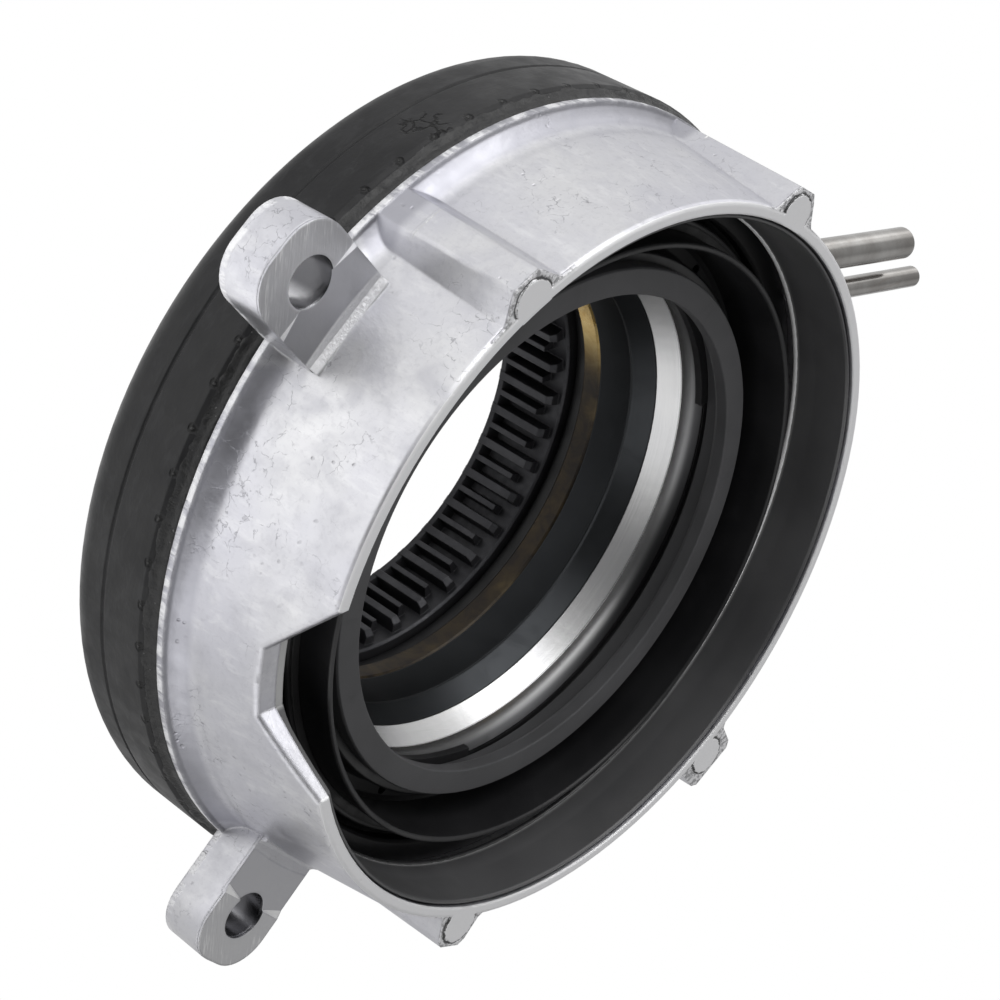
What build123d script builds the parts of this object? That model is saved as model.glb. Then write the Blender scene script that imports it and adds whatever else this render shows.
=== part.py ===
from build123d import *
import math
import os

# Vacuum locking hub actuator, millimetres. +Z is the hub axis, mouth up.
# Origin: on the axis, in the plane the rear neck stands on.

# Heights
mouth_z = 51.5
flange_z = 28.2
ear_top_z = 34.7
notch_floor_z = 42.4

# Housing radii
mouth_r = 51.0
rim_outer_r = 52.8
drum_foot_r = 55.2
flange_r = 58.0
shelf_bore_r = 47.4
chamber_r = 53.0

# Mounting ears
ear_hole_r = 3.4
ear_centre_r = 65.0
ear_tip_r = 72.4
ear_corner_r = 5.6
ear_half_w = 7.1
ear_web_z = 34.4
ear_pad_from_r = 63.4
ear_fillet = 1.3
seat_pad_h = 0.3
ear_angles = (-47.5, 45.0, 180.0)

# Axial bosses: angle, radius at tip and foot, half widths of the flat and of the base
bosses = (
    (-63.3, 56.2, 57.9, 2.2, 4.4),
    (-119.9, 56.5, 57.7, 2.0, 4.4),
    (67.1, 57.4, 57.9, 2.1, 3.9),
    (124.9, 57.9, 58.3, 3.9, 4.8),
)
boss_tip_z = 51.3
boss_disc_r = 2.95

# Vacuum tubes
tube_dir = 171.0
tube_z = 40.0
tube_large_r = 2.38
tube_small_r = 1.6
tube_large_v = -36.7
tube_small_v = -30.7
tube_large_end = 68.0
tube_small_end = 73.9
tube_large_start = 37.2
tube_small_start = 42.6
tube_press_step = 0.17
tube_drop_u = 37.9
tube_wall_r = 51.4

# Rear cover and seal ring
neck_r = 37.6
seal_r = 59.0
seal_front_z = 26.7
seal_back_z = 11.2

# Carrier
carrier_bore_r = 37.5
carrier_seat_r = 39.5
carrier_outer_r = 41.2
sleeve_inner_r = 43.8
sleeve_outer_r = 44.6
sleeve_top_z = 45.0
piston_r = 51.0
snap_gap_from = 83.4
snap_gap_to = 189.7

# Clutch ring
tooth_pairs = 36
tooth_phase = 5.7
crest_r = 31.0
short_crest_r = 31.2
root_r = 33.2
clutch_r = 35.4
clutch_flange_r = 37.4
clutch_back_z = 0.35
long_tooth_z = 11.1
short_tooth_z = 9.0

os.makedirs("parts", exist_ok=True)


def save(shape, name):
    shape.label = name
    export_step(shape, "parts/" + name + ".step")


# Housing: die cast drum with its flange, ears, bosses and tube sockets
with BuildPart() as housing:
    with BuildSketch(Plane.XZ) as housing_profile:
        with BuildLine():
            Polyline((chamber_r, flange_z), (flange_r, flange_z), (flange_r, 29.2), (57.3, 29.4))
            RadiusArc((57.3, 29.4), (drum_foot_r, 33.6), 5.0)
            Polyline(
                (drum_foot_r, 33.6),
                (rim_outer_r, mouth_z - 0.6),
                (rim_outer_r - 0.2, mouth_z - 0.15),
                (rim_outer_r - 0.6, mouth_z),
                (mouth_r + 0.15, mouth_z),
                (mouth_r, mouth_z - 0.15),
                (mouth_r, 34.4),
                (shelf_bore_r, 34.4),
                (shelf_bore_r, 31.4),
                (chamber_r, 31.4),
                (chamber_r, flange_z),
            )
        make_face()
    revolve(axis=Axis.Z)
    # ears
    for ear_angle in ear_angles:
        with BuildSketch(Plane.XY.offset(flange_z).rotated((0, 0, ear_angle))):
            with Locations(((50.0 + ear_tip_r) / 2, 0)):
                RectangleRounded(ear_tip_r - 50.0, 2 * ear_half_w, ear_corner_r)
        extrude(amount=ear_web_z - flange_z)
        # raised pad at the tip and round the hole
        with BuildSketch(Plane.XY.offset(ear_web_z - 0.1).rotated((0, 0, ear_angle))):
            with Locations(((50.0 + ear_tip_r) / 2, 0)):
                RectangleRounded(ear_tip_r - 50.0, 2 * ear_half_w, ear_corner_r)
            with Locations((ear_pad_from_r - 10.0, 0)):
                Rectangle(20.0, 20.0, mode=Mode.SUBTRACT)
            with Locations((ear_centre_r, 0)):
                Circle(4.6)
        extrude(amount=ear_top_z - ear_web_z + 0.1)
        # slanted step down from the pad, widest at the sides of the ear
        for side in (-1, 1):
            with BuildSketch(Plane.XZ.offset(-side * ear_half_w).rotated((0, 0, ear_angle))):
                Polygon(
                    (ear_pad_from_r + 0.1, ear_web_z - 0.1),
                    (ear_pad_from_r + 0.1, ear_top_z),
                    (ear_pad_from_r, ear_top_z),
                    (ear_pad_from_r - 1.3, ear_web_z),
                    (ear_pad_from_r - 1.3, ear_web_z - 0.1),
                    align=None,
                )
            with BuildSketch(Plane.XZ.offset(-side * 3.0).rotated((0, 0, ear_angle))):
                Polygon(
                    (ear_pad_from_r + 0.1, ear_web_z - 0.1),
                    (ear_pad_from_r + 0.1, ear_top_z),
                    (ear_pad_from_r, ear_top_z),
                    (ear_pad_from_r - 0.3, ear_web_z),
                    (ear_pad_from_r - 0.3, ear_web_z - 0.1),
                    align=None,
                )
            loft()
    # small fillet where each ear meets the drum
    for ear_angle in ear_angles:
        with BuildSketch(Plane.XZ.rotated((0, 0, ear_angle))):
            with BuildLine():
                RadiusArc((54.9, ear_web_z + ear_fillet), (56.5, ear_web_z - 0.05), -1.7)
                Polyline((56.5, ear_web_z - 0.05), (54.2, ear_web_z - 0.05), (54.2, ear_web_z + ear_fillet))
                Line((54.2, ear_web_z + ear_fillet), (54.9, ear_web_z + ear_fillet))
            make_face()
        extrude(amount=ear_half_w - 0.1, both=True)
    # axial bosses with a flat outside and a round disc in the end face
    for boss_angle, tip_r, foot_r, flat, base in bosses:
        with BuildSketch(Plane.XY.offset(boss_tip_z).rotated((0, 0, boss_angle))):
            Polygon(
                (51.5, -base - 1.6),
                (53.1, -base),
                (tip_r - 1.0, -flat - 0.7),
                (tip_r, -flat + 0.2),
                (tip_r, flat - 0.2),
                (tip_r - 1.0, flat + 0.7),
                (53.1, base),
                (51.5, base + 1.6),
                align=None,
            )
        with BuildSketch(Plane.XY.offset(flange_z).rotated((0, 0, boss_angle))):
            Polygon(
                (53.5, -base - 3.0),
                (55.4, -base - 0.6),
                (foot_r - 1.0, -flat - 1.3),
                (foot_r, -flat - 0.3),
                (foot_r, flat + 0.3),
                (foot_r - 1.0, flat + 1.3),
                (55.4, base + 0.6),
                (53.5, base + 3.0),
                align=None,
            )
        loft()
        with BuildSketch(Plane.XY.offset(boss_tip_z - 0.5).rotated((0, 0, boss_angle))):
            with Locations((tip_r - boss_disc_r - 0.7, 0)):
                Circle(boss_disc_r)
        extrude(amount=mouth_z - boss_tip_z + 0.5)
    # clear the inside again
    with BuildSketch(Plane.XZ):
        Polygon(
            (0, 20.0),
            (chamber_r, 20.0),
            (chamber_r, 31.4),
            (shelf_bore_r, 31.4),
            (shelf_bore_r, 34.4),
            (mouth_r, 34.4),
            (mouth_r, 60.0),
            (0, 60.0),
            align=None,
        )
    revolve(axis=Axis.Z, mode=Mode.SUBTRACT)
    # flat back
    with BuildSketch(Plane.XY.offset(20.0)):
        Circle(90.0)
    extrude(amount=flange_z - 20.0, mode=Mode.SUBTRACT)
    # machined seat pads under the ears
    for ear_angle in ear_angles:
        with BuildSketch(Plane.XY.offset(flange_z - seat_pad_h).rotated((0, 0, ear_angle))):
            with Locations((ear_centre_r, 0)):
                Circle(5.7)
        extrude(amount=seat_pad_h + 0.1)
    # mounting holes
    for ear_angle in ear_angles:
        with BuildSketch(Plane.XY.offset(flange_z - 1.0).rotated((0, 0, ear_angle))):
            with Locations((ear_centre_r, 0)):
                Circle(ear_hole_r)
        extrude(amount=10.0, mode=Mode.SUBTRACT)
    # notch in the mouth
    with BuildSketch(Plane.YZ.offset(40.0)):
        Polygon(
            (-14.3, mouth_z + 1.0),
            (-13.9, mouth_z),
            (-4.8, notch_floor_z),
            (4.8, notch_floor_z),
            (13.9, mouth_z),
            (14.3, mouth_z + 1.0),
            align=None,
        )
    extrude(amount=20.0, mode=Mode.SUBTRACT)
    # rounded outer edges of the notch
    notch_edges = [
        e
        for e in housing.edges()
        if notch_floor_z - 0.2 < (e @ 0.5).Z < mouth_z - 1.0
        and abs((e @ 0.5).Y) < 14.0
        and math.hypot((e @ 0.5).X, (e @ 0.5).Y) > 52.5
        and (e @ 0.5).X > 50.0
    ]
    fillet(notch_edges, 0.8)
    # tube sockets in the wall, each with a passage: one down to the chamber, one into the mouth
    port_plane = Plane.YZ.rotated((0, 0, tube_dir))
    for tube_v, tube_r, start_u in (
        (tube_large_v, tube_large_r, tube_large_start),
        (tube_small_v, tube_small_r, tube_small_start),
    ):
        with BuildPart(mode=Mode.PRIVATE) as socket:
            with BuildSketch(port_plane.offset(start_u)):
                with Locations((-tube_v, tube_z)):
                    Circle(tube_r - tube_press_step)
            extrude(amount=20.0)
            Cylinder(tube_wall_r, 120.0, mode=Mode.SUBTRACT)
        add(socket.part, mode=Mode.SUBTRACT)
    with BuildSketch(Plane.XY.offset(30.0).rotated((0, 0, tube_dir))):
        with Locations((tube_drop_u, -tube_large_v)):
            Circle(0.8)
    extrude(amount=tube_z - 30.0, mode=Mode.SUBTRACT)
    with BuildSketch(port_plane.offset(36.0)):
        with Locations((-tube_small_v, tube_z + 0.3)):
            Circle(0.7)
    extrude(amount=9.0, mode=Mode.SUBTRACT)
    # groove for the cover seal
    with BuildSketch(Plane.XY.offset(flange_z)):
        Circle(55.6)
        Circle(54.0, mode=Mode.SUBTRACT)
    extrude(amount=1.1, mode=Mode.SUBTRACT)
save(housing.part, "housing")

# Black liner pressed into the mouth, curled in a little at its lower edge
with BuildPart() as mouth_liner:
    with BuildSketch(Plane.XZ):
        with BuildLine():
            Polyline((50.97, 41.7), (50.97, 50.4), (50.7, 50.9), (50.4, 50.9), (50.25, 50.6), (50.25, 45.2))
            RadiusArc((50.25, 45.2), (49.75, 42.5), 7.0)
            ThreePointArc((49.75, 42.5), (49.8, 41.95), (50.2, 41.7))
            Line((50.2, 41.7), (50.97, 41.7))
        make_face()
    revolve(axis=Axis.Z)
    with BuildSketch(Plane.YZ.offset(40.0)):
        Polygon(
            (-14.6, mouth_z),
            (-5.0, notch_floor_z - 0.2),
            (5.0, notch_floor_z - 0.2),
            (14.6, mouth_z),
            align=None,
        )
    extrude(amount=20.0, mode=Mode.SUBTRACT)
save(mouth_liner.part, "mouth_liner")

# Ring that clamps the bead of the diaphragm on the shelf
with BuildPart() as clamp_ring:
    with BuildSketch(Plane.XZ):
        Polygon((50.95, 37.5), (50.95, 39.5), (48.0, 39.5), (47.6, 39.1), (47.6, 37.5), align=None)
    revolve(axis=Axis.Z)
save(clamp_ring.part, "clamp_ring")

# Rolling diaphragm: outer bead on the shelf, one roll, inner bead on the sleeve
with BuildPart() as diaphragm:
    with BuildSketch(Plane.XZ):
        with BuildLine():
            Polyline((47.25, 30.8), (47.25, 34.45), (50.9, 34.45), (50.9, 37.45))
            Polyline((50.9, 37.45), (47.9, 37.45), (46.55, 36.4), (46.55, 30.8))
            ThreePointArc((46.55, 30.8), (45.95, 30.2), (45.35, 30.8))
            Polyline((45.35, 30.8), (45.35, 36.7), (45.85, 37.1), (45.85, 39.4), (44.65, 39.4))
            Line((44.65, 39.4), (44.65, 30.8))
            ThreePointArc((44.65, 30.8), (45.95, 29.5), (47.25, 30.8))
        make_face()
    revolve(axis=Axis.Z)
save(diaphragm.part, "diaphragm")

# Band that grips the inner bead
with BuildPart() as diaphragm_band:
    with BuildSketch(Plane.XZ):
        Polygon((45.88, 37.4), (46.6, 37.4), (46.6, 39.0), (46.3, 39.3), (45.88, 39.3), align=None)
    revolve(axis=Axis.Z)
save(diaphragm_band.part, "diaphragm_band")

# Rear cover: flange, cup wall, stepped bottom and neck, pressed from one sheet
with BuildPart() as rear_cover:
    with BuildSketch(Plane.XZ):
        Polygon(
            (52.5, flange_z),
            (56.5, flange_z),
            (56.5, 26.8),
            (54.0, 26.8),
            (54.0, 11.0),
            (52.0, 9.0),
            (44.0, 9.0),
            (44.0, 3.8),
            (43.2, 3.0),
            (neck_r, 3.0),
            (neck_r, 0),
            (36.2, 0),
            (36.0, 0.2),
            (36.0, 4.5),
            (42.5, 4.5),
            (42.5, 10.5),
            (51.4, 10.5),
            (52.5, 11.6),
            align=None,
        )
    revolve(axis=Axis.Z)
    # stiffening pads pressed into the bottom
    with BuildSketch(Plane.XY.offset(8.2)):
        with PolarLocations(48.0, 12):
            SlotOverall(5.0, 2.4)
    extrude(amount=0.8)
save(rear_cover.part, "rear_cover")

# Thick rubber seal ring round the cup, with a mould line and a groove behind its rear lip
with BuildPart() as seal_ring:
    with BuildSketch(Plane.XZ):
        with BuildLine():
            Polyline(
                (54.03, seal_front_z),
                (57.9, seal_front_z),
                (58.6, 26.4),
                (seal_r, 25.8),
                (seal_r, 19.0),
                (seal_r - 0.2, 18.8),
                (seal_r - 0.2, 18.5),
                (seal_r, 18.3),
                (seal_r, 15.4),
            )
            RadiusArc((seal_r, 15.4), (56.2, seal_back_z + 0.6), 3.6)
            Polyline(
                (56.2, seal_back_z + 0.6),
                (55.9, 13.6),
                (55.3, 14.4),
                (55.0, 13.6),
                (54.9, 12.4),
                (54.03, 12.0),
                (54.03, seal_front_z),
            )
        make_face()
    revolve(axis=Axis.Z)
save(seal_ring.part, "seal_ring")

# Rough bead of sealant between the housing flange and the seal ring
with BuildPart() as joint_bead:
    with BuildSketch(Plane.XZ):
        Polygon((56.53, 26.75), (57.5, 26.75), (57.3, 27.5), (57.4, 28.15), (56.53, 28.15), align=None)
    revolve(axis=Axis.Z)
save(joint_bead.part, "joint_bead")

# Round seal in the housing groove
with BuildPart() as cover_seal:
    with BuildSketch(Plane.XZ):
        with Locations((54.8, flange_z + 0.5)):
            Ellipse(0.75, 0.48)
    revolve(axis=Axis.Z)
save(cover_seal.part, "cover_seal")

# Steel tubes with drilled bores, chamfered ends and a turned-down end pressed in the wall
def vacuum_tube(outer_r, bore_r, v, start_u, end_u):
    port_plane = Plane.YZ.rotated((0, 0, tube_dir))
    with BuildPart() as tube:
        with BuildSketch(port_plane.offset(start_u)):
            with Locations((-v, tube_z)):
                Circle(outer_r)
        extrude(amount=end_u - start_u)
        chamfer(tube.edges().filter_by(GeomType.CIRCLE).sort_by(SortBy.DISTANCE)[-1], length=0.5)
        # turned down where it sits in the drum, up to just outside the drum's wall
        with BuildSketch(port_plane.offset(start_u)):
            with Locations((-v, tube_z)):
                Circle(outer_r + 1.0)
                Circle(outer_r - tube_press_step, mode=Mode.SUBTRACT)
        wall_u = math.sqrt(54.6**2 - (abs(v) - outer_r - 0.6) ** 2) + 0.3
        extrude(amount=wall_u - start_u, mode=Mode.SUBTRACT)
        Cylinder(tube_wall_r, 120.0, mode=Mode.SUBTRACT)
        with BuildSketch(port_plane.offset(start_u - 1.0)):
            with Locations((-v, tube_z)):
                Circle(bore_r)
        extrude(amount=end_u - start_u + 2.0, mode=Mode.SUBTRACT)
        if start_u < tube_drop_u:
            with BuildSketch(Plane.XY.offset(tube_z - 4.0).rotated((0, 0, tube_dir))):
                with Locations((tube_drop_u, -v)):
                    Circle(0.8)
            extrude(amount=4.0, mode=Mode.SUBTRACT)
    return tube.part


save(vacuum_tube(tube_large_r, 1.5, tube_large_v, tube_large_start, tube_large_end), "tube_large")
save(vacuum_tube(tube_small_r, 0.9, tube_small_v, tube_small_start, tube_small_end), "tube_small")

# Plain bush that guides the carrier in the rear cover
with BuildPart() as guide_bush:
    with BuildSketch(Plane.XZ):
        Polygon((41.28, 5.2), (42.48, 5.2), (42.48, 10.2), (41.6, 10.2), (41.28, 9.8), align=None)
    revolve(axis=Axis.Z)
save(guide_bush.part, "guide_bush")

# Thin steel seat for the spring, under the shelf
with BuildPart() as spring_seat:
    with BuildSketch(Plane.XY.offset(30.75)):
        Circle(52.2)
        Circle(47.55, mode=Mode.SUBTRACT)
    extrude(amount=0.62)
save(spring_seat.part, "spring_seat")

# Carrier: the sliding piston and sleeve
with BuildPart() as carrier:
    with BuildSketch(Plane.XZ):
        Polygon(
            (carrier_bore_r, 5.7),
            (40.8, 5.7),
            (carrier_outer_r, 6.1),
            (carrier_outer_r, 11.5),
            (piston_r, 11.5),
            (piston_r, 13.0),
            (42.0, 13.0),
            (carrier_outer_r, 13.8),
            (carrier_outer_r, 31.4),
            (42.0, 32.2),
            (sleeve_outer_r, 32.2),
            (sleeve_outer_r, sleeve_top_z - 0.2),
            (sleeve_outer_r - 0.2, sleeve_top_z),
            (sleeve_inner_r + 0.2, sleeve_top_z),
            (sleeve_inner_r, sleeve_top_z - 0.2),
            (sleeve_inner_r, 35.0),
            (43.2, 34.4),
            (41.6, 34.4),
            (40.9, 35.0),
            (40.9, 38.2),
            (40.6, 38.5),
            (carrier_seat_r, 38.5),
            (carrier_seat_r, 34.75),
            (40.45, 34.75),
            (40.45, 33.5),
            (carrier_seat_r, 33.5),
            (carrier_seat_r, 26.5),
            (carrier_bore_r, 26.5),
            (carrier_bore_r, 9.55),
            (38.45, 9.55),
            (38.45, 8.25),
            (carrier_bore_r, 8.25),
            align=None,
        )
    revolve(axis=Axis.Z)
    # lightening pockets between inner and outer sleeve
    with BuildSketch(Plane.XY.offset(33.2)):
        with PolarLocations(42.35, 24):
            Circle(0.8)
    extrude(amount=2.0, mode=Mode.SUBTRACT)
save(carrier.part, "carrier")

# Lip seal on the rim of the piston
with BuildPart() as piston_seal:
    with BuildSketch(Plane.XZ):
        Polygon(
            (51.02, 11.6),
            (52.1, 11.6),
            (52.2, 12.4),
            (52.42, 15.2),
            (52.0, 15.6),
            (51.7, 15.2),
            (51.5, 13.6),
            (51.02, 13.2),
            align=None,
        )
    revolve(axis=Axis.Z)
save(piston_seal.part, "piston_seal")

# Front ring: flat grey face that closes the carrier
with BuildPart() as front_ring:
    with BuildSketch(Plane.XZ):
        Polygon(
            (39.47, 34.8),
            (39.47, 40.6),
            (39.27, 40.85),
            (35.82, 40.85),
            (35.7, 40.73),
            (35.7, 39.0),
            (36.1, 38.4),
            (38.4, 37.8),
            (38.6, 37.4),
            (38.6, 34.8),
            align=None,
        )
    revolve(axis=Axis.Z)
save(front_ring.part, "front_ring")

# Snap ring with square ends and a gap, in the carrier groove
gap_from = math.radians(snap_gap_from)
gap_to = math.radians(snap_gap_to)
with BuildPart() as snap_ring:
    with BuildSketch(Plane.XY.offset(33.55)):
        Circle(40.4)
        Circle(37.25, mode=Mode.SUBTRACT)
        Polygon(
            (0, 0),
            (60 * math.cos(gap_from), 60 * math.sin(gap_from)),
            (90 * math.cos((gap_from + gap_to) / 2), 90 * math.sin((gap_from + gap_to) / 2)),
            (60 * math.cos(gap_to), 60 * math.sin(gap_to)),
            align=None,
            mode=Mode.SUBTRACT,
        )
    extrude(amount=1.15)
save(snap_ring.part, "snap_ring")

# Bright machined race ring: a conical face that rounds over at the front
with BuildPart() as race_ring:
    with BuildSketch(Plane.XZ):
        with BuildLine():
            Polyline((37.7, 30.6), (36.15, 27.1), (37.6, 27.1), (37.6, 26.55), (39.47, 26.55))
            Polyline((39.47, 26.55), (39.47, 33.45), (39.2, 33.45))
            RadiusArc((39.2, 33.45), (37.7, 30.6), -4.2)
        make_face()
    revolve(axis=Axis.Z)
save(race_ring.part, "race_ring")

# Dark lip ring under the race
with BuildPart() as lip_ring:
    with BuildSketch(Plane.XZ):
        Polygon((37.45, 23.7), (37.45, 27.0), (36.05, 27.0), (34.2, 24.1), (34.2, 23.7), align=None)
    revolve(axis=Axis.Z)
save(lip_ring.part, "lip_ring")

# Guide ring with a slightly tapered bore
with BuildPart() as guide_ring:
    with BuildSketch(Plane.XZ):
        Polygon((37.45, 18.5), (37.45, 23.65), (34.25, 23.65), (33.35, 18.5), align=None)
    revolve(axis=Axis.Z)
save(guide_ring.part, "guide_ring")

# Bronze thrust washer
with BuildPart() as thrust_washer:
    with BuildSketch(Plane.XZ):
        Polygon(
            (37.45, 15.1),
            (37.45, 18.45),
            (33.5, 18.45),
            (33.2, 18.1),
            (33.2, 15.4),
            (33.5, 15.1),
            align=None,
        )
    revolve(axis=Axis.Z)
save(thrust_washer.part, "thrust_washer")

# Spacer ring in front of the clutch ring
with BuildPart() as spacer_ring:
    with BuildSketch(Plane.XY.offset(12.3)):
        Circle(37.45)
        Circle(34.9, mode=Mode.SUBTRACT)
    extrude(amount=2.75)
save(spacer_ring.part, "spacer_ring")

# Snap ring that keeps the clutch ring in the carrier
with BuildPart() as clutch_retainer:
    with BuildSketch(Plane.XY.offset(8.3)):
        Circle(38.4)
        Circle(35.9, mode=Mode.SUBTRACT)
        with PolarLocations(37.0, 1, start_angle=200):
            Rectangle(6.0, 4.0, mode=Mode.SUBTRACT)
    extrude(amount=1.2)
save(clutch_retainer.part, "clutch_retainer")

# Clutch ring: long and short internal teeth by turns, closed by a rim at the back
with BuildPart() as clutch_ring:
    with BuildSketch(Plane.XZ):
        Polygon(
            (short_crest_r, clutch_back_z + 0.3),
            (short_crest_r + 0.3, clutch_back_z),
            (clutch_r - 0.4, clutch_back_z),
            (clutch_r, clutch_back_z + 0.4),
            (clutch_r, 9.85),
            (clutch_flange_r, 9.85),
            (clutch_flange_r, 12.0),
            (33.5, 12.0),
            (root_r, 11.7),
            (root_r, 2.2),
            (short_crest_r, 1.5),
            align=None,
        )
    revolve(axis=Axis.Z)
    with BuildSketch(Plane.XY.offset(clutch_back_z)):
        with PolarLocations(0, tooth_pairs, start_angle=tooth_phase):
            Polygon((crest_r, -0.62), (root_r + 0.1, -0.98), (root_r + 0.1, 0.98), (crest_r, 0.62), align=None)
    extrude(amount=long_tooth_z - clutch_back_z)
    with BuildSketch(Plane.XY.offset(1.4)):
        with PolarLocations(0, tooth_pairs, start_angle=tooth_phase + 180 / tooth_pairs):
            Polygon(
                (short_crest_r, -0.42),
                (root_r + 0.1, -0.72),
                (root_r + 0.1, 0.72),
                (short_crest_r, 0.42),
                align=None,
            )
    extrude(amount=short_tooth_z - 1.4)
    # lead-in chamfers on the tooth ends
    with BuildSketch(Plane.XZ):
        Polygon((crest_r - 0.2, 10.2), (32.6, 11.8), (crest_r - 0.2, 11.8), align=None)
        Polygon((crest_r - 0.2, clutch_back_z), (crest_r + 0.4, clutch_back_z), (crest_r - 0.2, 1.0), align=None)
    revolve(axis=Axis.Z, mode=Mode.SUBTRACT)
save(clutch_ring.part, "clutch_ring")

# Return spring between the piston and the spring seat
with BuildPart() as return_spring:
    with BuildLine() as coil:
        Helix(pitch=4.7, height=14.1, radius=49.0, center=(0, 0, 14.4))
    with BuildSketch(Plane(origin=coil.line @ 0, z_dir=coil.line % 0)):
        Circle(1.2)
    sweep()
    for ring_z in (14.4, 29.45):
        with BuildSketch(Plane.XZ):
            with Locations((49.0, ring_z)):
                Circle(1.2)
        revolve(axis=Axis.Z)
save(return_spring.part, "return_spring")
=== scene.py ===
import math

import bmesh
import bpy
from mathutils import Matrix, Vector, noise


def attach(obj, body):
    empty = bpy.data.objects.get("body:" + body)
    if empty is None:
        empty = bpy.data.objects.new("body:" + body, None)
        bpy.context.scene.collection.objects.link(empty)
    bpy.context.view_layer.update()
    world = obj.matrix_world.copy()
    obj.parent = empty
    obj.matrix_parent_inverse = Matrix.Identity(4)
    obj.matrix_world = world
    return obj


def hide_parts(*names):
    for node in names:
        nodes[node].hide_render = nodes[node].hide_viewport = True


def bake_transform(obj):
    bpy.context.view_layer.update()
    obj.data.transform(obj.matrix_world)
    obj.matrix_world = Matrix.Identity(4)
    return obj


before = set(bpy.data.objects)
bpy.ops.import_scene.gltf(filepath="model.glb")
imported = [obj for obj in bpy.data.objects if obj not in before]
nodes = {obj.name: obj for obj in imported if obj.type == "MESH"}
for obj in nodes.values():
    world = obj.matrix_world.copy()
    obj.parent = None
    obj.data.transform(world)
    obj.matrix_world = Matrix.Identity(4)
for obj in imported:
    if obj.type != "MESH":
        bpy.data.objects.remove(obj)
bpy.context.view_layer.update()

# Camera, from the circles of the mouth, flange and rings in the photograph
CAM_AT = Vector((0.21608, -0.16978, 0.21312))
CAM_RIGHT = Vector((-0.69355, -0.11854, 0.71059))
CAM_UP = Vector((-0.29831, -0.85057, -0.43305))
CAM_BACK = Vector((0.65574, -0.51232, 0.55455))

# Lamps, and the bright patches of the surround: way, cosines where a patch begins and is full, strength
PART_MIDDLE = Vector((0, 0, 0.025))
LAMP_DISTANCE = 0.9
SKY_PATCHES = (
    ((-0.60, 0.62, 0.50), 0.85, 0.99, 0.38),
    ((0.40, 0.58, 0.71), 0.84, 0.98, 0.60),
    ((-0.82, -0.56, 0.10), 0.93, 0.99, 0.9),
)

# Places that the materials follow, millimetres and degrees
EAR_HOLES = ((65.0, -47.5), (65.0, 45.0), (65.0, 180.0))
EAR_WEB_TOP, EAR_PAD_TOP, EAR_STEP_R = 34.74, 35.04, 63.4
BOSS_DISCS = ((52.55, -63.3), (52.85, -119.9), (53.75, 67.1), (54.25, 124.9))
DRUM_R, FLANGE_R, SEAL_R = 55.0, 57.0, 59.0
DIMPLES = 62
DIMPLE_PHASE = 4.7
DIMPLE_Z = 25.85
TORN_PATCH = (59.0, -74.6, 23.2)
BRONZE_HIGHLIGHT_AT = (34.0, -148.0, 17.0)
LIP_HIGHLIGHT_AT = (50.0, -170.0, 42.0)
RACE_SHOULDER_Z = 30.4
LIP_R, LIP_Z = 49.92, 41.85
NOTCH_HALF_W = 4.9

# Base colours
ALU_COOL = (0.60, 0.60, 0.645)
ALU_WARM = (0.70, 0.70, 0.715)
ALU_STAIN = (0.52, 0.52, 0.56)
ALU_RUBBED = (0.85, 0.85, 0.86)
ALU_CRACK = (0.20, 0.20, 0.22)
ALU_PIT = (0.32, 0.32, 0.34)
ALU_CORNER_SHADE = (0.22, 0.22, 0.24)
ALU_WEB = (0.50, 0.50, 0.52)
ALU_PAD = (0.60, 0.60, 0.61)
ALU_COVE_SHADE = (0.38, 0.38, 0.42)


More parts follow.
